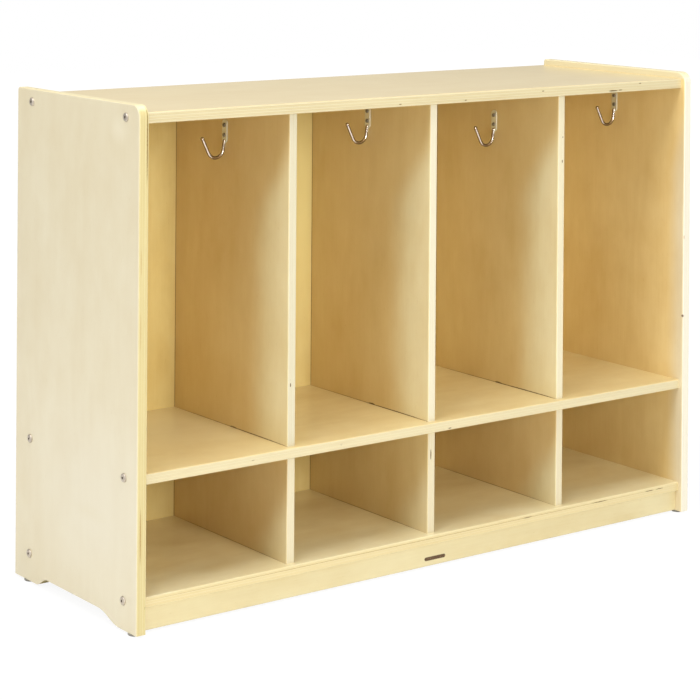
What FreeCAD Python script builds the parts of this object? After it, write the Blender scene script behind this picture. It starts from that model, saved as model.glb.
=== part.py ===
import FreeCAD, Part
import math
import os

V = FreeCAD.Vector

# Four-section open coat locker of plywood.  Millimetres.
# Frame: X is the width (+X to the right seen from the front), the open front faces -Y,
# +Z is up, and the origin is on the floor under the middle of the locker.

# ---- overall -----------------------------------------------------------------------------
overall_width = 1219.0
overall_depth = 381.0
overall_height = 823.0
glide_height = 4.0

# ---- boards ------------------------------------------------------------------------------
panel_thickness = 18.0
shelf_thickness = 17.0
divider_thickness = 16.0
back_thickness = 6.0
edge_round = 2.5
front_corner_radius = 19.0
rear_corner_radius = 5.0
top_drop = 12.0
front_recess = 9.0
divider_recess = 11.5
toe_recess = 7.0
back_inset = 20.0
rear_rail_gap = 8.0
groove_depth = 7.0
divider_pitch = 299.0
middle_shelf_top = 249.5
bottom_shelf_top = 58.0

# ---- foot arch in the side panels --------------------------------------------------------
arch_height = 15.0
front_foot_end = -141.0
front_arch_start = -77.0
rear_arch_end = 82.0
rear_foot_end = 120.0

# ---- joint bolts, barrel nuts, dowels and screws -----------------------------------------
bolt_y_front = -152.0
bolt_y_rear = 141.0
bolt_hole_radius = 3.5
bolt_shank_radius = 3.0
bolt_length = 50.0
bolt_head_radius = 7.0
bolt_head_height = 3.0
bolt_socket_size = 4.0
nut_inset = 28.0
nut_radius = 5.0
nut_length = 12.0
dowel_radius = 4.0
dowel_bite = 16.0
dowel_blind_bite = 11.0
dowel_ys = (-110.0, 90.0)
rail_dowel_xs = (-500.0, -170.0, 170.0, 500.0)
screw_radius = 1.75
screw_head_radius = 3.6

# ---- hooks: (wall, y, height of the prong tip above the floor) ---------------------------
hook_places = ((0, 13.5, 738.5), (1, 0.5, 747.0), (2, 0.5, 724.0), (3, -9.5, 746.5))
hook_plate_width = 14.0
hook_plate_thickness = 2.2
hook_plate_low = -11.0
hook_plate_high = 29.0
hook_screw_heights = (2.5, 19.5)
hook_screw_length = 12.0
hook_wire_radius = 2.7
hook_tip_radius = 3.3
# points of the bent wire: (distance out from the wall, height above the prong tip)
hook_root = (2.06, -7.4)
hook_bend_centre = (20.0, -19.9)
hook_bend_radius = 15.7
hook_prong_end = (46.6, -2.0)

# ---- glides ------------------------------------------------------------------------------
glide_radius = 10.0
glide_chamfer = 1.0
glide_y_front = -170.0
glide_y_rear = 154.0
nail_radius = 1.2
nail_length = 16.0

# ---- maker's mark ------------------------------------------------------------------------
mark_width = 46.0
mark_height = 6.0
mark_thickness = 0.4
mark_x = 5.0
mark_z = 16.5

# ---- derived -----------------------------------------------------------------------------
half_width = overall_width / 2
half_depth = overall_depth / 2
inner_half = half_width - panel_thickness
foot_z = glide_height
top_surface_z = overall_height - top_drop
top_under_z = top_surface_z - panel_thickness
middle_under_z = middle_shelf_top - shelf_thickness
bottom_under_z = bottom_shelf_top - shelf_thickness
shelf_front = -half_depth + front_recess
divider_front = shelf_front + divider_recess
toe_front = shelf_front + toe_recess
back_front = half_depth - back_inset - back_thickness
rear_rail_front = back_front - rear_rail_gap - panel_thickness
divider_xs = (-divider_pitch, 0.0, divider_pitch)
divider_names = ("left", "center", "right")
shelf_mid_zs = (
    bottom_shelf_top - shelf_thickness / 2,
    middle_shelf_top - shelf_thickness / 2,
    top_surface_z - panel_thickness / 2,
)
bolt_ys = (bolt_y_front, bolt_y_rear)


def box(x0, x1, y0, y1, z0, z1):
    return Part.makeBox(x1 - x0, y1 - y0, z1 - z0, V(x0, y0, z0))


def rod(radius, start, direction, length):
    return Part.makeCylinder(radius, length, V(*start), V(*direction))


def line(a, b):
    return Part.makeLine(V(*a), V(*b))


def bezier(points):
    curve = Part.BezierCurve()
    curve.setPoles([V(*p) for p in points])
    return curve.toShape()


def cut_all(shape, tools):
    return shape.cut(Part.makeCompound(tools)) if tools else shape


def one_solid(shape):
    return shape.Solids[0]


def edges_where(shape, test):
    return [edge for edge in shape.Edges if test(edge.BoundBox)]


def save(name, solids):
    items = solids if isinstance(solids, list) else [solids]
    shape = items[0] if len(items) == 1 else Part.makeCompound(items)
    shape.exportStep("parts/" + name + ".step")


# ---- side panels -------------------------------------------------------------------------
def side_profile(x):
    """Closed outline of a side panel in the plane of its outer face."""
    low, high = foot_z, overall_height
    arch_z = foot_z + arch_height
    front, rear = -half_depth, half_depth
    front_r, rear_r = front_corner_radius, rear_corner_radius
    front_bend = front_r * (1 - 0.5 ** 0.5)
    rear_bend = rear_r * (1 - 0.5 ** 0.5)
    ogee_front = (front_arch_start - front_foot_end) * 0.4
    ogee_rear = (rear_foot_end - rear_arch_end) * 0.45
    edges = [
        line((x, front, low), (x, front_foot_end, low)),
        bezier((
            (x, front_foot_end, low),
            (x, front_foot_end + ogee_front, low),
            (x, front_arch_start - ogee_front, arch_z),
            (x, front_arch_start, arch_z),
        )),
        line((x, front_arch_start, arch_z), (x, rear_arch_end, arch_z)),
        bezier((
            (x, rear_arch_end, arch_z),
            (x, rear_arch_end + ogee_rear, arch_z),
            (x, rear_foot_end - ogee_rear, low),
            (x, rear_foot_end, low),
        )),
        line((x, rear_foot_end, low), (x, rear, low)),
        line((x, rear, low), (x, rear, high - rear_r)),
        Part.Arc(V(x, rear, high - rear_r), V(x, rear - rear_bend, high - rear_bend),
                 V(x, rear - rear_r, high)).toShape(),
        line((x, rear - rear_r, high), (x, front + front_r, high)),
        Part.Arc(V(x, front + front_r, high), V(x, front + front_bend, high - front_bend),
                 V(x, front, high - front_r)).toShape(),
        line((x, front, high - front_r), (x, front, low)),
    ]
    return Part.Face(Part.Wire(edges))


def is_outline_edge(bound):
    """The long edges round the front, top and rear of a side panel's two faces."""
    flat = bound.XLength < 0.01
    above_foot = bound.ZMax > overall_height / 2
    return flat and above_foot


def side_panel(side):
    """side is -1 for the left panel and +1 for the right one."""
    outer = side * half_width
    inner = side * inner_half
    body = side_profile(min(outer, inner)).extrude(V(panel_thickness, 0, 0))
    body = body.makeFillet(edge_round, edges_where(body, is_outline_edge))
    groove = box(
        min(inner, inner + side * groove_depth), max(inner, inner + side * groove_depth),
        back_front, back_front + back_thickness,
        bottom_shelf_top - groove_depth, top_under_z + groove_depth,
    )
    tools = [groove]
    for y in bolt_ys:
        for z in shelf_mid_zs:
            tools.append(rod(bolt_hole_radius, (outer, y, z), (-side, 0, 0), panel_thickness))
    for y in (glide_y_front, glide_y_rear):
        centre = side * (half_width - panel_thickness / 2)
        tools.append(rod(nail_radius, (centre, y, foot_z), (0, 0, 1), nail_length))
    if side > 0:
        tools += hook_pilots(3)
    return one_solid(cut_all(body, tools))


# ---- shelves -----------------------------------------------------------------------------
def bolt_bores(z, thickness):
    """Holes in a board's ends for the joint bolts, and blind holes for the barrel nuts."""
    tools = []
    for side in (-1, 1):
        for y in bolt_ys:
            tools.append(rod(bolt_hole_radius, (side * inner_half, y, z), (-side, 0, 0), 40.0))
            under = (side * (inner_half - nut_inset), y, z - thickness / 2)
            tools.append(rod(nut_radius, under, (0, 0, 1), thickness / 2 + nut_length / 2))
    return tools


def board(rear, low, high):
    """A full-width board with its two front edges eased."""
    body = box(-inner_half, inner_half, shelf_front, rear, low, high)

    def is_front_edge(bound):
        return bound.YMax < shelf_front + 0.01 and bound.XLength > overall_width / 2

    return body.makeFillet(edge_round, edges_where(body, is_front_edge))


def dowel_holes(z, direction, depth):
    tools = []
    for x in divider_xs:
        for y in dowel_ys:
            tools.append(rod(dowel_radius, (x, y, z), (0, 0, direction), depth))
    return tools


def top_panel():
    body = board(half_depth, top_under_z, top_surface_z)
    groove = box(-inner_half, inner_half, back_front, back_front + back_thickness,
                 top_under_z, top_under_z + groove_depth)
    tools = [groove] + bolt_bores(shelf_mid_zs[2], panel_thickness)
    tools += dowel_holes(top_under_z, 1, dowel_blind_bite)
    return one_solid(cut_all(body, tools))


def middle_shelf():
    body = board(back_front, middle_under_z, middle_shelf_top)
    tools = bolt_bores(shelf_mid_zs[1], shelf_thickness)
    tools += dowel_holes(middle_under_z, 1, shelf_thickness)
    for x in back_screw_xs():
        tools.append(rod(screw_radius, (x, back_front, shelf_mid_zs[1]), (0, -1, 0), 20.0))
    return one_solid(cut_all(body, tools))


def bottom_shelf():
    body = board(half_depth, bottom_under_z, bottom_shelf_top)
    groove = box(-inner_half, inner_half, back_front, back_front + back_thickness,
                 bottom_shelf_top - groove_depth, bottom_shelf_top)
    tools = [groove] + bolt_bores(shelf_mid_zs[0], shelf_thickness)
    tools += dowel_holes(bottom_shelf_top, -1, dowel_blind_bite)
    for x in rail_dowel_xs:
        for y in rail_dowel_ys():
            tools.append(rod(dowel_radius, (x, y, bottom_under_z), (0, 0, 1), dowel_blind_bite))
    return one_solid(cut_all(body, tools))


# ---- dividers ----------------------------------------------------------------------------
def divider(x, low, high, low_bite, high_bite, pilots):
    half = divider_thickness / 2
    body = box(x - half, x + half, divider_front, back_front, low, high)

    def is_front_edge(bound):
        return bound.YMax < divider_front + 0.01 and bound.ZLength > (high - low) / 2

    body = body.makeFillet(edge_round, edges_where(body, is_front_edge))
    tools = list(pilots)
    for y in dowel_ys:
        tools.append(rod(dowel_radius, (x, y, low), (0, 0, 1), low_bite))
        tools.append(rod(dowel_radius, (x, y, high), (0, 0, -1), high_bite))
    for z in back_screw_zs(low, high):
        tools.append(rod(screw_radius, (x, back_front, z), (0, -1, 0), 20.0))
    return one_solid(cut_all(body, tools))


def upper_divider(index):
    return divider(divider_xs[index], middle_shelf_top, top_under_z,
                   dowel_bite, dowel_bite, hook_pilots(index))


def lower_divider(index):
    return divider(divider_xs[index], bottom_shelf_top, middle_under_z,
                   dowel_bite, dowel_bite, [])


# ---- back panel and base rails -----------------------------------------------------------
def back_screw_xs():
    return [x + divider_pitch / 2 for x in (-2 * divider_pitch, -divider_pitch, 0.0,
                                            divider_pitch)]


def back_screw_zs(low, high):
    count = 3 if high - low > 300 else 2
    return [low + (high - low) * (i + 0.5) / count for i in range(count)]


def back_screw_points():
    points = [(x, shelf_mid_zs[1]) for x in back_screw_xs()]
    for x in divider_xs:
        points += [(x, z) for z in back_screw_zs(middle_shelf_top, top_under_z)]
        points += [(x, z) for z in back_screw_zs(bottom_shelf_top, middle_under_z)]
    return points


def back_panel():
    reach = inner_half + groove_depth
    rear = back_front + back_thickness
    body = box(-reach, reach, back_front, rear,
               bottom_shelf_top - groove_depth, top_under_z + groove_depth)
    tools = [rod(screw_radius, (x, rear, z), (0, -1, 0), back_thickness)
             for x, z in back_screw_points()]
    return one_solid(cut_all(body, tools))


def back_screws():
    rear = back_front + back_thickness
    screws = []
    for x, z in back_screw_points():
        shank = rod(screw_radius, (x, rear, z), (0, -1, 0), back_thickness + 18.0)
        head = rod(screw_head_radius, (x, rear, z), (0, 1, 0), 2.0)
        rim = edges_where(head, lambda bound: bound.YMin > rear + 1.99)
        screws.append(one_solid(head.makeFillet(1.2, rim).fuse(shank)))
    return screws


def rail_dowel_ys():
    return (toe_front + panel_thickness / 2, rear_rail_front + panel_thickness / 2)


def base_rail(front):
    body = box(-inner_half, inner_half, front, front + panel_thickness,
               foot_z, bottom_under_z)

    def is_low_edge(bound):
        return bound.ZMax < foot_z + 0.01 and bound.XLength > overall_width / 2

    body = body.makeFillet(1.5, edges_where(body, is_low_edge))
    tools = [rod(dowel_radius, (x, front + panel_thickness / 2, bottom_under_z),
                 (0, 0, -1), dowel_bite) for x in rail_dowel_xs]
    return one_solid(cut_all(body, tools))


# ---- dowels ------------------------------------------------------------------------------
def divider_dowels(low, high):
    return [rod(dowel_radius, (x, y, low), (0, 0, 1), high - low)
            for x in divider_xs for y in dowel_ys]


def rail_dowels():
    low = bottom_under_z - dowel_bite
    return [rod(dowel_radius, (x, y, low), (0, 0, 1), dowel_bite + dowel_blind_bite)
            for x in rail_dowel_xs for y in rail_dowel_ys()]


# ---- joint bolts and barrel nuts ---------------------------------------------------------
def joint_bolt(side, y, z):
    face = side * half_width
    head = rod(bolt_head_radius, (face, y, z), (side, 0, 0), bolt_head_height)
    outer = face + side * bolt_head_height

    def is_rim(bound):
        return abs(bound.Center.x - outer) < 0.01 and bound.XLength < 0.01

    head = head.makeFillet(bolt_head_height * 0.8, edges_where(head, is_rim))
    shank = rod(bolt_shank_radius, (face, y, z), (-side, 0, 0), bolt_length)
    corner = bolt_socket_size / 3 ** 0.5
    hexagon = Part.makePolygon([
        V(outer, y + corner * dy, z + corner * dz) for dy, dz in
        ((1, 0), (0.5, 0.75 ** 0.5), (-0.5, 0.75 ** 0.5), (-1, 0),
         (-0.5, -(0.75 ** 0.5)), (0.5, -(0.75 ** 0.5)), (1, 0))
    ])
    socket = Part.Face(hexagon).extrude(V(-side * 4.0, 0, 0))
    return one_solid(head.fuse(shank).cut(socket))


def joint_bolts(side):
    return [joint_bolt(side, y, z) for z in shelf_mid_zs for y in bolt_ys]


def barrel_nut(side, y, z):
    x = side * (inner_half - nut_inset)
    low = z - nut_length / 2
    body = rod(nut_radius, (x, y, low), (0, 0, 1), nut_length)
    thread = rod(bolt_shank_radius, (x + nut_radius + 1, y, z), (-1, 0, 0), 2 * nut_radius + 2)
    slot = box(x - 0.7, x + 0.7, y - nut_radius, y + nut_radius, low, low + 1.5)
    return one_solid(body.cut(thread).cut(slot))


def barrel_nuts():
    return [barrel_nut(side, y, z) for side in (-1, 1) for z in shelf_mid_zs for y in bolt_ys]


# ---- coat hooks --------------------------------------------------------------------------
def wall_x(index):
    """X of the wall face, facing -X, that carries hook number index."""
    faces = [x - divider_thickness / 2 for x in divider_xs] + [inner_half]
    return faces[index]


def hook_pilots(index):
    wall, y, tip_z = hook_places[index]
    x = wall_x(wall)
    return [rod(screw_radius, (x, y, tip_z + dz), (1, 0, 0), hook_screw_length)
            for dz in hook_screw_heights]


def hook_plate(x, y, tip_z):
    half = hook_plate_width / 2
    low = tip_z + hook_plate_low
    high = tip_z + hook_plate_high
    thick = hook_plate_thickness
    bar = box(x - thick, x, y - half, y + half, low + half, high - half)
    top_end = rod(half, (x, y, high - half), (-1, 0, 0), thick)
    low_end = rod(half, (x, y, low + half), (-1, 0, 0), thick)
    plate = bar.fuse([top_end, low_end]).removeSplitter()

    def is_face_rim(bound):
        return abs(bound.Center.x - (x - thick)) < 0.01 and bound.XLength < 0.01

    return plate.makeFillet(0.8, edges_where(plate, is_face_rim))


def bend_angle(point, turn):
    """Where round the bend the straight leg from point touches it, in radians."""
    out = point[0] - hook_bend_centre[0]
    up = point[1] - hook_bend_centre[1]
    return math.atan2(up, out) + turn * math.acos(hook_bend_radius / math.hypot(out, up))


def hook_wire(x, y, tip_z):
    """A straight leg, a round bend and a second leg that ends in a ball."""

    def place(point):
        return V(x - point[0], y, tip_z + point[1])

    def on_bend(angle):
        return place((hook_bend_centre[0] + hook_bend_radius * math.cos(angle),
                      hook_bend_centre[1] + hook_bend_radius * math.sin(angle)))

    def leg(start, end):
        return rod(hook_wire_radius, start, end - start, (end - start).Length)

    first = bend_angle(hook_root, 1)
    last = bend_angle(hook_prong_end, -1)
    root, prong_end = place(hook_root), place(hook_prong_end)
    disc = Part.Face(Part.Wire(
        Part.Circle(on_bend(first), on_bend(first) - root, hook_wire_radius).toShape()))
    turn = math.degrees(last - first) % 360
    bend = disc.revolve(place(hook_bend_centre), V(0, 1, 0), turn)
    return leg(root, on_bend(first)).fuse([
        bend,
        leg(on_bend(last), prong_end),
        Part.makeSphere(hook_wire_radius, root),
        Part.makeSphere(hook_tip_radius, prong_end),
    ])


def coat_hook(index):
    wall, y, tip_z = hook_places[index]
    x = wall_x(wall)
    hook = hook_plate(x, y, tip_z).fuse(hook_wire(x, y, tip_z))
    wall_side = box(x, x + 20, y - 20, y + 20, tip_z - 60, tip_z + 60)
    tools = [wall_side]
    for dz in hook_screw_heights:
        tools.append(rod(screw_radius, (x, y, tip_z + dz), (-1, 0, 0), 12.0))
    return one_solid(cut_all(hook, tools))


def hook_screw(index, dz):
    wall, y, tip_z = hook_places[index]
    x = wall_x(wall)
    z = tip_z + dz
    face = x - hook_plate_thickness
    shank = rod(screw_radius, (face, y, z), (1, 0, 0),
                hook_screw_length + hook_plate_thickness)
    head = rod(screw_head_radius, (face, y, z), (-1, 0, 0), 2.2)
    rim = edges_where(head, lambda bound: bound.XMax < face - 2.19)
    head = head.makeFillet(1.5, rim)
    slots = [
        box(face - 3, face - 1.2, y - 2, y + 2, z - 0.4, z + 0.4),
        box(face - 3, face - 1.2, y - 0.4, y + 0.4, z - 2, z + 2),
    ]
    return one_solid(cut_all(head.fuse(shank), slots))


def hook_screws():
    return [hook_screw(index, dz) for index in range(4) for dz in hook_screw_heights]


# ---- floor glides ------------------------------------------------------------------------
def glide_points():
    centre = half_width - panel_thickness / 2
    return [(side * centre, y) for side in (-1, 1) for y in (glide_y_front, glide_y_rear)]


def floor_glides():
    glides = []
    for x, y in glide_points():
        disc = rod(glide_radius, (x, y, 0), (0, 0, 1), glide_height)
        rim = edges_where(disc, lambda bound: bound.ZMax < 0.01)
        disc = disc.makeChamfer(glide_chamfer, rim)
        recess = rod(nail_radius * 2, (x, y, 0), (0, 0, 1), 1.5)
        hole = rod(nail_radius, (x, y, 0), (0, 0, 1), glide_height)
        glides.append(one_solid(disc.cut(recess).cut(hole)))
    return glides


def glide_nails():
    nails = []
    for x, y in glide_points():
        head = rod(nail_radius * 2, (x, y, 0.5), (0, 0, 1), 1.0)
        shank = rod(nail_radius, (x, y, 1.5), (0, 0, 1), glide_height + nail_length - 1.5)
        nails.append(one_solid(head.fuse(shank)))
    return nails


# ---- maker's mark ------------------------------------------------------------------------
def maker_mark():
    """A plain lozenge-ended plate glued to the toe kick, with no lettering."""
    half = mark_height / 2
    front = toe_front - mark_thickness
    bar = box(mark_x - mark_width / 2 + half, mark_x + mark_width / 2 - half,
              front, toe_front, mark_z - half, mark_z + half)
    ends = [rod(half, (mark_x + s * (mark_width / 2 - half), front, mark_z),
                (0, 1, 0), mark_thickness) for s in (-1, 1)]
    return one_solid(bar.fuse(ends).removeSplitter())


def main():
    os.makedirs("parts", exist_ok=True)
    save("left_side_panel", side_panel(-1))
    save("right_side_panel", side_panel(1))
    save("top_panel", top_panel())
    save("middle_shelf", middle_shelf())
    save("bottom_shelf", bottom_shelf())
    for index, name in enumerate(divider_names):
        save("upper_divider_" + name, upper_divider(index))
        save("lower_divider_" + name, lower_divider(index))
    save("back_panel", back_panel())
    save("back_screws", back_screws())
    save("toe_kick", base_rail(toe_front))
    save("rear_rail", base_rail(rear_rail_front))
    save("top_divider_dowels",
         divider_dowels(top_under_z - dowel_bite, top_under_z + dowel_blind_bite))
    save("middle_divider_dowels",
         divider_dowels(middle_under_z - dowel_bite, middle_shelf_top + dowel_bite))
    save("bottom_divider_dowels",
         divider_dowels(bottom_shelf_top - dowel_blind_bite, bottom_shelf_top + dowel_bite))
    save("rail_dowels", rail_dowels())
    save("left_joint_bolts", joint_bolts(-1))
    save("right_joint_bolts", joint_bolts(1))
    save("barrel_nuts", barrel_nuts())
    for index in range(4):
        save("coat_hook_" + str(index + 1), coat_hook(index))
    save("hook_screws", hook_screws())
    save("floor_glides", floor_glides())
    save("glide_nails", glide_nails())
    save("maker_mark", maker_mark())


main()
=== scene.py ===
"""Looks of the four-bay coat locker: birch plywood, nickel hardware, studio light and camera."""

import math

import bpy
from mathutils import Matrix, Vector

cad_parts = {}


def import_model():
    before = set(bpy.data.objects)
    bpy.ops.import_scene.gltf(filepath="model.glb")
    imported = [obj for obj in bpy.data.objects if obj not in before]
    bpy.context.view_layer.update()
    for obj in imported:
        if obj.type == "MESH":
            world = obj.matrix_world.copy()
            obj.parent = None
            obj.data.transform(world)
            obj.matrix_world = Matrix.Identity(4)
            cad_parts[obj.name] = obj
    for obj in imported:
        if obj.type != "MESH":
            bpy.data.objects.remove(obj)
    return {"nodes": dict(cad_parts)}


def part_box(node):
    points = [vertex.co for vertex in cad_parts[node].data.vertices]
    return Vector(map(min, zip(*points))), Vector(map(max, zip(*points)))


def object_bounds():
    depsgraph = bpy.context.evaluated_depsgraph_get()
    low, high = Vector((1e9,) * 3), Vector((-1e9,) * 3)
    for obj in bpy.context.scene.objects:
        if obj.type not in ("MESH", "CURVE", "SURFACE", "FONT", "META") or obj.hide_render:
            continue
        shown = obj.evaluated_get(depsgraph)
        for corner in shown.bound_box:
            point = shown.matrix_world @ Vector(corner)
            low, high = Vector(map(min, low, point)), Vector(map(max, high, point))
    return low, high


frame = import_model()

CAD_LOW, CAD_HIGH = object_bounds()
X, Y, Z = 0, 1, 2


def srgb(red, green, blue):
    """An 8-bit display colour as the linear colour the shaders use."""
    linear = []
    for channel in (red, green, blue):
        c = channel / 255.0
        linear.append(c / 12.92 if c <= 0.04045 else ((c + 0.055) / 1.055) ** 2.4)
    return (*linear, 1.0)


def tinted(colour, factors):
    """A linear colour with its three channels scaled."""
    return (*(min(1.0, c * f) for c, f in zip(colour, factors)), 1.0)


class Graph:
    """A short way to write the node tree of a material or a world."""

    def __init__(self, owner):
        owner.use_nodes = True
        self.owner = owner
        self.tree = owner.node_tree
        self.tree.nodes.clear()

    def put(self, value, socket):
        """Links another node's output to an input, or sets the input's plain value."""
        if isinstance(value, bpy.types.NodeSocket):
            self.tree.links.new(value, socket)
        else:
            socket.default_value = value

    def node(self, kind, inputs=None, **settings):
        """A new node with its settings and its inputs, each a plain value or an output."""
        made = self.tree.nodes.new(kind)
        for key, value in settings.items():
            setattr(made, key, value)
        for key, value in (inputs or {}).items():
            self.put(value, made.inputs[key])
        return made

    def math(self, operation, a, b=0.0, clamp=False):
        made = self.node("ShaderNodeMath", {0: a, 1: b}, operation=operation, use_clamp=clamp)
        return made.outputs[0]

    def total(self, terms):
        """The sum of value times weight over (value, weight) pairs, plus the plain numbers."""
        result = sum(term for term in terms if isinstance(term, float))
        for value, weight in (term for term in terms if not isinstance(term, float)):
            made = self.node("ShaderNodeMath", {0: value, 1: weight, 2: result}, operation="MULTIPLY_ADD")
            result = made.outputs[0]
        return result

    def vector(self, operation, a, b=(0.0, 0.0, 0.0)):
        made = self.node("ShaderNodeVectorMath", {0: a, 1: b}, operation=operation)
        return made.outputs["Value" if operation == "LENGTH" else "Vector"]

    def scaled(self, place, scale):
        """A place or shift times one number, which sets how fine a pattern is."""
        return self.vector("MULTIPLY", place, (scale, scale, scale))

    def stretched(self, place, axis, along, across):
        """A place times one number along an axis and another across it."""
        scale = [across, across, across]
        scale[axis] = along
        return self.vector("MULTIPLY", place, tuple(scale))

    def noise(self, vector, detail=2.0, rough=0.5, w=0.0, distortion=0.0):
        inputs = {"Vector": vector, "W": w, "Scale": 1.0, "Detail": detail}
        inputs.update({"Roughness": rough, "Distortion": distortion})
        return self.node("ShaderNodeTexNoise", inputs, noise_dimensions="4D").outputs[0]

    def ramp(self, value, low, high, to_low=0.0, to_high=1.0):
        """A smooth step between two values, held at its ends."""
        inputs = {"Value": value, "From Min": low, "From Max": high}
        inputs.update({"To Min": to_low, "To Max": to_high})
        made = self.node("ShaderNodeMapRange", inputs, interpolation_type="SMOOTHSTEP")
        return made.outputs["Result"]

    def blend(self, factor, a, b, kind="MIX"):
        made = self.node("ShaderNodeMix", data_type="RGBA", blend_type=kind, clamp_factor=True)
        self.put(factor, made.inputs[0])
        self.put(a, made.inputs[6])
        self.put(b, made.inputs[7])
        return made.outputs[2]

    def multiplied(self, colour, factors):
        """A colour with its three channels scaled."""
        return self.blend(1.0, colour, (*factors, 1.0), "MULTIPLY")

    def split(self, vector, axis):
        return self.node("ShaderNodeSeparateXYZ", {0: vector}).outputs[axis]

    def bump(self, height, distance):
        inputs = {"Height": height, "Distance": distance, "Strength": 1.0}
        return self.node("ShaderNodeBump", inputs).outputs["Normal"]

    def finish(self, shader, output="ShaderNodeOutputMaterial"):
        """Closes the tree with its output, and returns the material or world."""
        self.node(output, {0: shader})
        return self.owner

    def surface(self, **inputs):
        """Closes the tree with a principled shader: base_color stands for Base Color, and so on."""
        named = {key.replace("_", " ").title(): value for key, value in inputs.items()}
        named = {key.replace("Ior", "IOR"): value for key, value in named.items()}
        return self.finish(self.node("ShaderNodeBsdfPrincipled", named).outputs[0])


def material_graph(name):
    """The empty tree of a new material."""
    return Graph(bpy.data.materials.new(name))


# ---------------------------------------------------------------- plywood

WARM = (0.93, 0.89, 0.81)
PALE = (1.07, 1.11, 1.19)
FLECK = (0.72, 0.60, 0.42)
END_GRAIN = (0.92, 0.86, 0.72)
STREAK = (0.86, 0.78, 0.62)
GLUE = (0.58, 0.44, 0.26)
VOID = srgb(88, 60, 26)
BROWN = srgb(176, 132, 72)
SEAM_SHADE = srgb(116, 82, 42)
# Painted shade for the joints where a divider meets the shelf and the back.
GAP_AND_SHADE_BROWN = srgb(96, 66, 36)
# Dark brown for real gaps in an edge, and for painted shade at the feet of the dividers.

# Metres: the face veneer's thickness, the plies' rough thickness and the depth of the grain's relief.
SKIN = 0.0008
PLY = 0.0022
RELIEF = 0.00015
# Flaws have ragged outlines, and reach a little way in from the face or edge that they are on.
RAGGED_SCALE = 300.0
RAGGED_SHIFT = 0.0012
FACE_BITE = 0.002
EDGE_BITE = 0.004
# A hard flaw is whole within the first share of its half sizes, and every flaw ends at the second.
HARD_EDGE = 0.70
MARK_END = 1.15
# Within this height below a board's top, the painted light from the open front gives way to a
# painted shadow of the board above: the veneer darkens as it does away from the open front.
SHADED_TOP = 0.20
# Clear varnish: its coat and shine where it is whole.
COAT = 0.35
SHINE = 0.5


class Mark:
    """A flaw in a board: its centre from the board's low corner, its half sizes and its strength.

    A soft one only tints the wood, and fades out from its centre. Another breaks the varnish too.
    """

    def __init__(self, centre, radii, strength=1.0, colour=VOID, soft=False):
        self.centre = centre
        self.radii = radii
        self.strength = strength
        self.colour = colour
        self.inner_edge = 0.0 if soft else HARD_EDGE


class Board:
    """One board: its thin axis and grain axis, then the colours of its faces, edges and flaws.

    front is a paler face colour towards the open front, painted light where light falls in, reached
    between two distances from it; cap is the edge colour where the edge faces up, painted light from
    above; lines is how strongly the plies show in the edges, and figure how strongly the veneer's
    figure shows in the faces.
    """

    def __init__(self, thin, grain, face, edge, other_face=None, marks=(), front=None,
                 reach=(0.045, 0.125), cap=None, lines=1.0, figure=1.1):
        self.thin = thin
        self.grain = grain
        self.low_face = face
        self.high_face = other_face or face
        self.edge = edge
        self.marks = marks
        self.front = front
        self.reach = reach
        self.cap = cap
        self.lines = lines
        self.figure = figure


def veneer(g, place, grain, seed, base, figure):
    """Face figure: mottling, soft bands, faint rotary contours and fine fibre round a mean colour.

    Each layer's scale is per metre, along the grain and then across it.
    """
    fibre = g.noise(g.stretched(place, grain, 14.0, 460.0), 3.0, 0.6, seed)
    bands = g.noise(g.stretched(place, grain, 2.4, 26.0), 3.0, 0.5, seed, 0.4)
    clouds = g.noise(g.stretched(place, grain, 5.0, 8.0), 3.0, 0.55, seed + 3.0)
    mottle = g.noise(g.stretched(place, grain, 15.0, 26.0), 3.0, 0.55, seed + 5.0)
    hills = g.noise(g.stretched(place, grain, 1.3, 6.0), 2.0, 0.4, seed + 7.0)
    contours = g.math("SINE", g.math("MULTIPLY", hills, 80.0))
    layers = [(clouds, 1.1), (bands, 0.4), (mottle, 0.9), (fibre, 0.4)]
    centre = sum(weight for _, weight in layers) / 2
    tone = g.total([-centre, *layers, (contours, 0.04)])
    tone = g.total([0.50, (tone, figure)])
    colour = g.blend(tone, g.multiplied(base, WARM), g.multiplied(base, PALE))
    specks = g.noise(g.stretched(place, grain, 110.0, 800.0), 1.0, 0.5, seed)
    fleck = g.ramp(specks, 0.68, 0.80, 0.0, 0.3)
    return g.blend(fleck, colour, g.multiplied(colour, FLECK)), fibre


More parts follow.
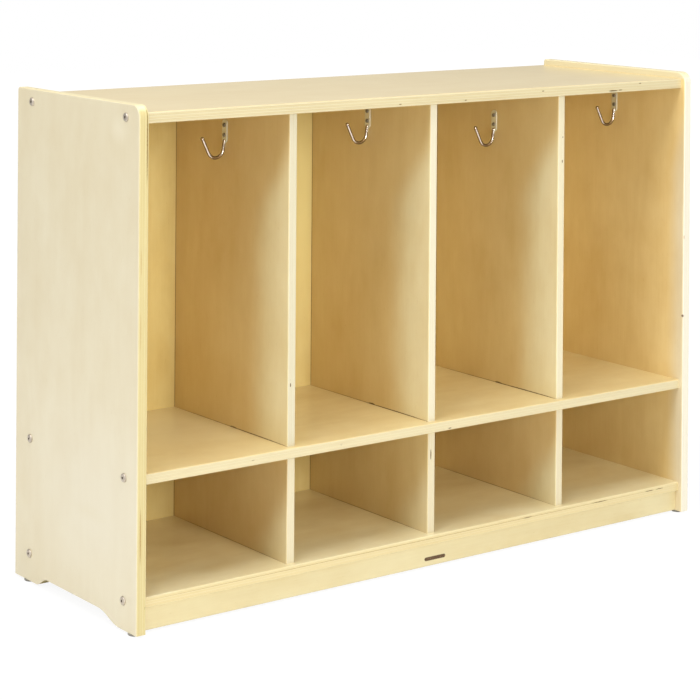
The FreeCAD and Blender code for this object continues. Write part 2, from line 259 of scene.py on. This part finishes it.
def edge_wood(g, place, normal, board, low, thick, seed):
    """Sawn edge: alternating plies with glue lines and small voids. Returns colour and relief."""
    thin, grain = board.thin, board.grain
    cross = 3 - thin - grain
    depth = g.math("SUBTRACT", g.split(place, thin), low)
    count = max(3, round((thick - 2 * SKIN) / PLY))
    ply = (thick - 2 * SKIN) / count
    layer = g.math("DIVIDE", g.math("SUBTRACT", depth, SKIN), ply)
    index = g.math("FLOOR", layer)
    turn = g.math("ABSOLUTE", g.math("MODULO", index, 2.0))
    fraction = g.math("SUBTRACT", layer, index)
    seam = g.math("MINIMUM", fraction, g.math("SUBTRACT", 1.0, fraction))
    identity = g.math("ADD", g.math("MULTIPLY", index, 5.3), seed)
    facing_grain = g.math("ABSOLUTE", g.split(normal, grain))
    facing_cross = g.math("ABSOLUTE", g.split(normal, cross))
    end = g.math("ADD", g.math("MULTIPLY", facing_cross, turn),
                 g.math("MULTIPLY", facing_grain, g.math("SUBTRACT", 1.0, turn)))
    run = g.noise(g.scaled(place, 9.0), 3.0, 0.6, identity)
    fibre = g.noise(g.scaled(place, 380.0), 2.0, 0.6, identity)
    base = board.edge
    colour = g.blend(g.ramp(end, 0.2, 0.8, 0.0, 0.55 * board.lines), base, tinted(base, END_GRAIN))
    colour = g.blend(g.ramp(run, 0.52, 0.76, 0.0, 0.55 * board.lines), colour, tinted(base, STREAK))
    colour = g.blend(g.ramp(fibre, 0.50, 0.75, 0.0, 0.18), colour, tinted(base, STREAK))
    shown = g.noise(g.scaled(place, 4.0), 2.0, 0.5, identity)
    line = g.ramp(seam, 0.02, 0.17, board.lines, 0.0)
    line = g.math("MULTIPLY", line, g.ramp(shown, 0.40, 0.62, 0.08, 0.8))
    colour = g.blend(line, colour, tinted(base, GLUE))
    # Painted light from above: where the edge faces up it takes the paler cap colour.
    if board.cap:
        colour = g.blend(g.ramp(g.split(normal, Z), 0.3, 0.9, 0.0, 0.9), colour, board.cap)
    holes = g.noise(g.scaled(place, 46.0), 1.0, 0.4, g.math("ADD", identity, 31.0))
    gap = g.math("MULTIPLY", g.ramp(holes, 0.775, 0.795), g.ramp(seam, 0.10, 0.22, 1.0, 0.0))
    return g.blend(gap, colour, VOID), g.math("SUBTRACT", g.math("MULTIPLY", fibre, 0.4), gap)


def face_colour(g, board, place, low, high):
    """Mean face colour, paler with painted light towards the open front and below the top."""
    middle = (low[board.thin] + high[board.thin]) / 2
    far_side = g.math("GREATER_THAN", g.split(place, board.thin), middle)
    mean = g.blend(far_side, board.low_face, board.high_face)
    if not board.front:
        return mean
    near, far = board.reach
    behind = g.math("SUBTRACT", g.split(place, Y), low[Y])
    # A painted shadow of the board above holds the painted light back near the top.
    if board.thin == X:
        top_shadow = g.ramp(g.split(place, Z), high[Z] - SHADED_TOP, high[Z], 0.0, far)
        behind = g.math("ADD", behind, top_shadow)
    return g.blend(g.ramp(behind, near, far, 1.0, 0.0), mean, board.front)


def plywood(node, board, seed):
    """Varnished birch plywood for one board, laid out from the board's own box."""
    low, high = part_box(node)
    thin = board.thin
    thick = high[thin] - low[thin]
    g = material_graph(f"birch_{node}")
    source = g.node("ShaderNodeTexCoord")
    place, normal = source.outputs["Object"], source.outputs["Normal"]
    mean = face_colour(g, board, place, low, high)
    face, fibre = veneer(g, place, board.grain, seed, mean, board.figure)
    edge, relief = edge_wood(g, place, normal, board, low[thin], thick, seed)
    depth = g.math("SUBTRACT", g.split(place, thin), low[thin])
    skin = g.math("MINIMUM", depth, g.math("SUBTRACT", thick, depth))
    inside = g.ramp(skin, SKIN * 0.9, SKIN * 1.1)
    colour = g.blend(inside, face, edge)
    varnish = 1.0
    if board.marks:
        inputs = {"Vector": place, "Scale": RAGGED_SCALE, "Detail": 2.0}
        ragged = g.node("ShaderNodeTexNoise", inputs)
        shift = g.vector("SUBTRACT", ragged.outputs["Color"], (0.5, 0.5, 0.5))
        place = g.vector("ADD", place, g.scaled(shift, RAGGED_SHIFT))
    for mark in board.marks:
        centre = [low[axis] + mark.centre[axis] for axis in (X, Y, Z)]
        reach = g.vector("DIVIDE", g.vector("SUBTRACT", place, centre), mark.radii)
        cover = g.ramp(g.vector("LENGTH", reach), mark.inner_edge, MARK_END, mark.strength, 0.0)
        colour = g.blend(cover, colour, mark.colour)
        if mark.inner_edge:
            varnish = g.math("SUBTRACT", varnish, cover, clamp=True)
    rough = g.ramp(fibre, 0.3, 0.7, 0.34, 0.42)
    height = g.math("ADD", g.math("MULTIPLY", fibre, 0.4), g.math("MULTIPLY", relief, inside))
    return g.surface(base_color=colour, roughness=rough, coat_roughness=0.16,
                     coat_weight=g.math("MULTIPLY", varnish, COAT),
                     specular_ior_level=g.math("MULTIPLY", varnish, SHINE),
                     normal=g.bump(height, RELIEF))


def paint(node, material):
    """Puts one material in every slot of a CAD node."""
    mesh = frame["nodes"][node].data
    if not mesh.materials:
        mesh.materials.append(material)
    for i in range(len(mesh.materials)):
        mesh.materials[i] = material


def edge_void(right, up, length, height=0.0008, strength=0.95):
    """A dark void along a board's front edge."""
    return Mark((right, 0.0, up), (length / 2, EDGE_BITE, height), strength)


def front_slit(right, up, length, strength=0.95):
    """A dark upright slit in a board's front edge."""
    return Mark((right, 0.0, up), (0.0011, EDGE_BITE, length / 2), strength)


def seams():
    """The thin lines of painted shade where a divider's left face meets the shelf below and the back."""
    low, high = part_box("upper_divider_left")
    depth = high[Y] - low[Y]
    return (
        Mark((0.0, depth / 2, 0.0), (FACE_BITE, depth / 2, 0.0013), 0.5, SEAM_SHADE),
        Mark((0.0, depth, 0.3), (FACE_BITE, 0.0024, 0.9), 0.5, SEAM_SHADE),
    )


def foot_shade(strength):
    """Painted shade: a thin dark line at the foot of a divider's left face, thicker at its rear end."""
    return (
        Mark((0.0, 0.079, 0.0), (FACE_BITE, 0.085, 0.0017), strength, GAP_AND_SHADE_BROWN),
        Mark((0.0, 0.154, 0.0005), (FACE_BITE, 0.010, 0.0022), strength),
    )


OUTER = srgb(222, 210, 178)
INNER = srgb(231, 206, 147)
SHELF_FACE = srgb(230, 209, 155)
# The front colours for shelves and dividers are painted light: paler where light falls in at the open
# front.
SHELF_LIT_FRONT = srgb(232, 218, 174)
DIVIDER_FACE = srgb(225, 199, 141)
DIVIDER_LIT_FRONT = srgb(235, 222, 178)
LOWER_LIT_FRONT = srgb(231, 214, 168)
SIDE_EDGE = srgb(211, 197, 143)
TOP_EDGE = srgb(213, 201, 162)
BRIGHT_EDGE = srgb(218, 207, 174)
# Painted light: the paler colour of edges that face up, lit from above.
LIT_CAP = srgb(238, 222, 172)
RIM = (0.002, 0.003, 0.0025)

# A mark's place is in metres from its own board's low corner, and its half sizes are in metres.
LEFT_MARKS = (
    # The first mark darkens the outer part of the front edge: partly its own duller colour, partly
    # painted shade on the rounded corner.
    Mark((0.0052, 0.0, 0.410), (0.0048, 0.006, 0.800), 0.6, srgb(203, 186, 128), soft=True),
    Mark((0.0145, 0.0, 0.758), (0.0009, 0.022, 0.064), 0.9, srgb(112, 82, 30)),
    Mark((0.0062, 0.0, 0.153), (0.0011, EDGE_BITE, 0.046), 0.75, srgb(160, 122, 60)),
    Mark((0.0050, 0.0, 0.575), (0.0010, EDGE_BITE, 0.022), 0.35, BROWN),
    Mark((0.0046, 0.0, 0.470), (0.0010, EDGE_BITE, 0.030), 0.35, BROWN),
    Mark((0.0, 0.1400, 0.1590), (FACE_BITE, 0.058, 0.0170), 0.24, srgb(206, 186, 128), soft=True),
    Mark((0.0, 0.1200, 0.1600), (FACE_BITE, 0.260, 0.2000), 0.50, srgb(228, 221, 200), soft=True),
    Mark((0.0, 0.0575, 0.776), (FACE_BITE, 0.030, 0.026), 0.35, srgb(240, 232, 208), soft=True),
    Mark((0.009, 0.3325, 0.819), RIM, 0.8),
)
RIGHT_MARKS = (
    Mark((0.0, 0.19, 0.816), (0.004, 0.9, 0.010), 1.0, srgb(226, 214, 176)),
    Mark((0.009, 0.3205, 0.819), RIM, 0.8),
    Mark((0.0008, 0.001, 0.3655), (0.0014, EDGE_BITE, 0.0026), 0.9, GAP_AND_SHADE_BROWN),
    Mark((0.0020, 0.001, 0.5120), (0.0012, EDGE_BITE, 0.0040), 0.5, BROWN),
)
TOP_MARKS = (
    edge_void(1.0070, 0.0036, 0.024, 0.0011, 1.0),
    edge_void(1.0250, 0.0042, 0.010, 0.0009, 0.9),
    edge_void(0.8338, 0.0115, 0.006),
    edge_void(1.0754, 0.0141, 0.006),
    edge_void(0.5073, 0.0046, 0.006),
    edge_void(0.6529, 0.0041, 0.005),
)
BOTTOM_MARKS = (
    Mark((0.586, 0.0, 0.0118), (0.62, EDGE_BITE, 0.0006), 0.55, srgb(150, 116, 56)),
    edge_void(0.9810, 0.0120, 0.041, 0.0008, 0.8),
    edge_void(1.1075, 0.0120, 0.024, 0.0008, 0.8),
    edge_void(1.1345, 0.0120, 0.020, 0.0008, 0.8),
    edge_void(0.8040, 0.0120, 0.023, 0.0008, 0.8),
)
MIDDLE_MARKS = (
    edge_void(0.6224, 0.0035, 0.007),
    edge_void(0.2077, 0.0089, 0.006, strength=0.5),
    Mark((0.16, 0.25, 0.017), (0.28, 0.17, 0.003), 0.7, srgb(234, 223, 184), soft=True),
)
BACK_MARKS = (
    Mark((0.575, 0.0, 0.56), (0.060, EDGE_BITE, 0.30), 0.9, srgb(240, 222, 150), soft=True),
)


def divider(edge, marks=(), face=DIVIDER_FACE, front=DIVIDER_LIT_FRONT):
    """A divider: paler with painted light towards the front, with quiet plies in its front edge."""
    return Board(X, Z, face, edge, marks=(*seams(), *marks), front=front, lines=0.45)


# A board's front colour is painted light, paler towards the open front where light falls in.
BOARDS = {
    "left_side_panel": Board(X, Z, OUTER, SIDE_EDGE, INNER, LEFT_MARKS, cap=LIT_CAP, figure=0.65),
    "right_side_panel": Board(X, Z, srgb(235, 207, 144), srgb(232, 227, 208), OUTER, RIGHT_MARKS,
                              cap=LIT_CAP, front=srgb(231, 216, 180), reach=(0.004, 0.045), lines=0.5,
                              figure=1.3),
    "top_panel": Board(Z, X, srgb(221, 201, 152), TOP_EDGE, marks=TOP_MARKS, figure=0.55),
    "middle_shelf": Board(Z, X, SHELF_FACE, srgb(216, 204, 164), lines=0.6, marks=MIDDLE_MARKS,
                          figure=1.5),
    "bottom_shelf": Board(Z, X, srgb(231, 212, 161), srgb(220, 204, 155), marks=BOTTOM_MARKS,
                          front=SHELF_LIT_FRONT, reach=(0.03, 0.13), lines=0.6, figure=1.4),
    "upper_divider_left": divider(srgb(212, 204, 175), (front_slit(0.0053, 0.1004, 0.007),
                                                        *foot_shade(0.6)),
                                  face=srgb(222, 195, 138)),
    "upper_divider_center": divider(srgb(223, 215, 187), foot_shade(0.8)),
    "upper_divider_right": divider(srgb(223, 214, 182), (front_slit(0.0099, 0.4255, 0.006),
                                                         front_slit(0.0107, 0.4685, 0.003),
                                                         *foot_shade(0.8))),
    "lower_divider_left": divider(BRIGHT_EDGE, face=srgb(219, 191, 136), front=LOWER_LIT_FRONT),
    "lower_divider_center": divider(BRIGHT_EDGE, (front_slit(0.0062, 0.1349, 0.019),),
                                    front=LOWER_LIT_FRONT),
    "lower_divider_right": divider(BRIGHT_EDGE, face=srgb(229, 201, 143)),
    "back_panel": Board(Y, Z, srgb(231, 207, 135), SIDE_EDGE, marks=BACK_MARKS, figure=1.3),
    "toe_kick": Board(Y, X, srgb(216, 201, 154), SIDE_EDGE),
    "rear_rail": Board(Y, X, DIVIDER_FACE, SIDE_EDGE),
}
FIRST_SEED = 2.0
SEED_STEP = 11.7
for number, (name, board) in enumerate(BOARDS.items()):
    paint(name, plywood(name, board, FIRST_SEED + SEED_STEP * number))


# ---------------------------------------------------------------- metal, plastic, dowels

# Painted reflection: the dark colour that glancing rims take, as if mirroring the dark bay walls.
DARK_RIM_REFLECTION = srgb(84, 60, 42)
PLATE_COLOUR = srgb(228, 226, 206)
# Metres from the wall: a screw plate's duller look is whole up to the first, and gone at the second.
PLATE_LOOK_WHOLE = 0.0024
PLATE_LOOK_GONE = 0.0030


def nickel(name, colour, roughness, rim_reflection=0.0, plate_x=None):
    """Bright plated steel with faint polishing marks, slight clouding and darker glancing rims,
    which are a painted reflection of dark surroundings.

    plate_x is the wall's face: the stamped screw plate against it is duller.
    """
    g = material_graph(name)
    place = g.node("ShaderNodeTexCoord").outputs["Object"]
    marks = g.noise(g.stretched(place, Z, 160.0, 900.0), 3.0, 0.7, 4.0)
    haze = g.noise(g.scaled(place, 120.0), 2.0, 0.5, 9.0)
    tint = g.blend(g.ramp(haze, 0.4, 0.7, 0.0, 0.4), colour, tinted(colour, (0.66, 0.63, 0.60)))
    rim = g.node("ShaderNodeLayerWeight", {"Blend": 0.5}).outputs["Facing"]
    # Painted reflection: glancing rims darken, as if mirroring dark surroundings.
    rim_reflected = g.blend(g.ramp(rim, 0.10, 0.42, 0.0, rim_reflection), tint, DARK_RIM_REFLECTION)
    rough = g.math("ADD", g.ramp(marks, 0.4, 0.7, 0.0, 0.12), roughness)
    metal = 1.0
    if plate_x is not None:
        plate = g.ramp(g.split(place, X), plate_x - PLATE_LOOK_GONE, plate_x - PLATE_LOOK_WHOLE)
        rough = g.math("ADD", rough, g.math("MULTIPLY", plate, 0.25))
        metal = g.ramp(plate, 0.0, 1.0, 1.0, 0.4)
        rim_reflected = g.blend(plate, rim_reflected, PLATE_COLOUR)
    return g.surface(base_color=rim_reflected, metallic=metal, roughness=rough,
                     normal=g.bump(marks, 0.00003))


def dowel_wood():
    """Beech dowel with fine pores."""
    g = material_graph("dowel_beech")
    place = g.node("ShaderNodeTexCoord").outputs["Object"]
    pores = g.noise(g.stretched(place, Z, 90.0, 700.0), 3.0, 0.6, 2.0)
    colour = g.blend(g.ramp(pores, 0.4, 0.7), srgb(222, 188, 138), srgb(188, 146, 96))
    return g.surface(base_color=colour, roughness=0.55, normal=g.bump(pores, 0.0001))


def glide_plastic():
    """Grey moulded glide with a fine grained surface."""
    g = material_graph("glide_plastic")
    place = g.node("ShaderNodeTexCoord").outputs["Object"]
    grain = g.noise(g.scaled(place, 1600.0), 2.0, 0.6, 1.0)
    colour = g.blend(grain, srgb(128, 124, 116), srgb(154, 150, 142))
    return g.surface(base_color=colour, roughness=0.45, normal=g.bump(grain, 0.00006))


def mark_print():
    """Thin dark-brown printed mark, slightly worn."""
    g = material_graph("mark_print")
    place = g.node("ShaderNodeTexCoord").outputs["Object"]
    wear = g.noise(g.scaled(place, 500.0), 3.0, 0.6, 6.0)
    colour = g.blend(g.ramp(wear, 0.52, 0.75, 0.0, 0.5), srgb(88, 62, 34), srgb(196, 164, 110))
    return g.surface(base_color=colour, roughness=0.5, normal=g.bump(wear, 0.00003))


STEEL = nickel("zinc_steel", srgb(150, 146, 140), 0.32)
BOLT = nickel("bolt_nickel", srgb(204, 194, 180), 0.46)
BEECH = dowel_wood()
for node in ("coat_hook_1", "coat_hook_2", "coat_hook_3", "coat_hook_4"):
    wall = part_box(node)[1][X]
    paint(node, nickel(f"nickel_{node}", srgb(226, 214, 202), 0.12, 0.9, wall))
for node in ("left_joint_bolts", "right_joint_bolts"):
    paint(node, BOLT)
for node in ("hook_screws", "back_screws", "barrel_nuts", "glide_nails"):
    paint(node, STEEL)
for node in ("top_divider_dowels", "middle_divider_dowels", "bottom_divider_dowels", "rail_dowels"):
    paint(node, BEECH)
paint("floor_glides", glide_plastic())
paint("maker_mark", mark_print())


# ---------------------------------------------------------------- floor, light, camera

WHITE = (1.0, 1.0, 1.0, 1.0)
FLOOR_HALF = 9.0
# The floor is mostly plain white, so its shadows are faint. They fade out at about this margin from
# the locker, between two shares of the way there.
SHADOW_MARGIN = 0.30
FADE_START = 0.75
FADE_END = 1.25
FLOOR_WHITE = 0.90
FLOOR_GLOW = 1.03
LIGHT_AIM = Vector((0.0, 0.0, 0.4))
CAMERA_PLACE = Vector((-2.3986, -2.9957, 1.1495))
CAMERA_YAW = math.radians(35.49)
CAMERA_PITCH = math.radians(0.34)
CAMERA_ROLL = math.radians(0.39)
CAMERA_LENS = 111.15
CAMERA_SHIFT = {"shift_x": 0.1389, "shift_y": -0.6329}
DOME = 0.325
DOME_MIRRORED = 0.50
SOFTBOXES = {
    # name: azimuth, elevation, distance, width, height, power
    "front_low": (-5.0, 15.0, 4.6, 1.2, 1.2, 77.4),
    "front_high": (-5.0, 38.0, 4.6, 1.6, 1.4, 37.5),
    "left_high": (-65.0, 55.0, 4.0, 1.4, 1.4, 47.9),
    "left": (-85.0, 30.0, 4.0, 2.0, 2.0, 41.1),
    "top": (0.0, 84.0, 3.2, 2.8, 2.2, 48.1),
    "right": (97.0, 4.0, 4.0, 1.6, 1.2, 32.0),
}


def floor():
    """A wide pale floor: it keeps a faint contact shadow and fades to plain white further out."""
    half = FLOOR_HALF
    mesh = bpy.data.meshes.new("studio_floor")
    corners = [(-half, -half, 0.0), (half, -half, 0.0), (half, half, 0.0), (-half, half, 0.0)]
    mesh.from_pydata(corners, [], [(0, 1, 2, 3)])
    made = bpy.data.objects.new("studio_floor", mesh)
    bpy.context.scene.collection.objects.link(made)
    g = material_graph("floor_pale")
    place = g.node("ShaderNodeTexCoord").outputs["Object"]
    faint = g.noise(g.scaled(place, 1.5), 2.0, 0.5, 0.0)
    paper = g.node("ShaderNodeBsdfDiffuse", {
        "Color": g.blend(faint, srgb(246, 246, 245), srgb(252, 252, 252))})
    white = g.node("ShaderNodeEmission", {"Color": WHITE, "Strength": FLOOR_GLOW})
    shaded = (CAD_HIGH[X] + SHADOW_MARGIN, CAD_HIGH[Y] + SHADOW_MARGIN, 1.0)
    reach = g.vector("LENGTH", g.vector("DIVIDE", place, shaded))
    away = g.ramp(reach, FADE_START, FADE_END, FLOOR_WHITE, 1.0)
    seen = g.node("ShaderNodeLightPath").outputs["Is Camera Ray"]
    share = g.math("MULTIPLY", away, seen)
    mix = g.node("ShaderNodeMixShader", {0: share, 1: paper.outputs[0], 2: white.outputs[0]})
    mesh.materials.append(g.finish(mix.outputs[0]))


def softbox(name, azimuth, elevation, distance, width, height, power):
    """A white area light aimed at the locker. Azimuth 0 is in front, minus is to its left."""
    data = bpy.data.lights.new(name, "AREA")
    data.shape = "RECTANGLE"
    data.size = width
    data.size_y = height
    data.energy = power
    made = bpy.data.objects.new(name, data)
    a, e = math.radians(azimuth), math.radians(elevation)
    away = Vector((math.sin(a) * math.cos(e), -math.cos(a) * math.cos(e), math.sin(e)))
    made.location = LIGHT_AIM + away * distance
    made.rotation_euler = (-away).to_track_quat("-Z", "Y").to_euler()
    bpy.context.scene.collection.objects.link(made)


def world():
    """White studio: a plain white background for the camera, and a dimmer dome that lights.

    Shiny surfaces mirror a brighter dome than the one that lights matt ones.
    """
    g = Graph(bpy.data.worlds.new("studio"))
    ray = g.node("ShaderNodeLightPath").outputs
    seen = g.node("ShaderNodeBackground", {"Color": WHITE})
    levels = {"Value": ray["Is Glossy Ray"], "To Min": DOME, "To Max": DOME_MIRRORED}
    level = g.node("ShaderNodeMapRange", levels).outputs["Result"]
    dome = g.node("ShaderNodeBackground", {"Color": WHITE, "Strength": level})
    parts = {0: ray["Is Camera Ray"], 1: dome.outputs[0], 2: seen.outputs[0]}
    mix = g.node("ShaderNodeMixShader", parts)
    bpy.context.scene.world = g.finish(mix.outputs[0], "ShaderNodeOutputWorld")


def camera():
    """Eye-level view from the front left with a shifted lens, so that uprights stay upright."""
    data = bpy.data.cameras.new("camera")
    data.sensor_width = 36.0
    data.lens = CAMERA_LENS
    made = bpy.data.objects.new("camera", data)
    bpy.context.scene.collection.objects.link(made)
    forward = Vector((math.sin(CAMERA_YAW) * math.cos(CAMERA_PITCH),
                      math.cos(CAMERA_YAW) * math.cos(CAMERA_PITCH), -math.sin(CAMERA_PITCH)))
    right = Vector((math.cos(CAMERA_YAW), -math.sin(CAMERA_YAW), 0.0))
    up = right.cross(forward)
    tilted_right = math.cos(CAMERA_ROLL) * right + math.sin(CAMERA_ROLL) * up
    tilted_up = math.cos(CAMERA_ROLL) * up - math.sin(CAMERA_ROLL) * right
    turn = Matrix((tilted_right, tilted_up, -forward)).transposed()
    made.location = CAMERA_PLACE
    made.rotation_mode = "XYZ"
    made.rotation_euler = turn.to_euler("XYZ")
    for channel, amount in CAMERA_SHIFT.items():
        shift_at_home(made, channel, amount)
    bpy.context.scene.camera = made


def shift_at_home(made, channel, amount):
    """A lens shift that holds while the camera keeps its XYZ rotation mode, and is zero in others.

    The shift suits the home view only. A tool that moves the camera round changes that mode.
    """
    curve = made.data.driver_add(channel)
    curve.driver.type = "SUM"
    home = curve.driver.variables.new()
    home.targets[0].id = made
    home.targets[0].data_path = "rotation_mode"
    while curve.modifiers:
        curve.modifiers.remove(curve.modifiers[0])
    curve.keyframe_points.clear()
    for value, result in ((0.0, 0.0), (1.0, amount)):
        key = curve.keyframe_points.insert(value, result)
        key.interpolation = "LINEAR"
    curve.extrapolation = "CONSTANT"


floor()
world()
for name, shape in SOFTBOXES.items():
    softbox(name, *shape)
camera()
bpy.context.scene.view_settings.view_transform = "Standard"
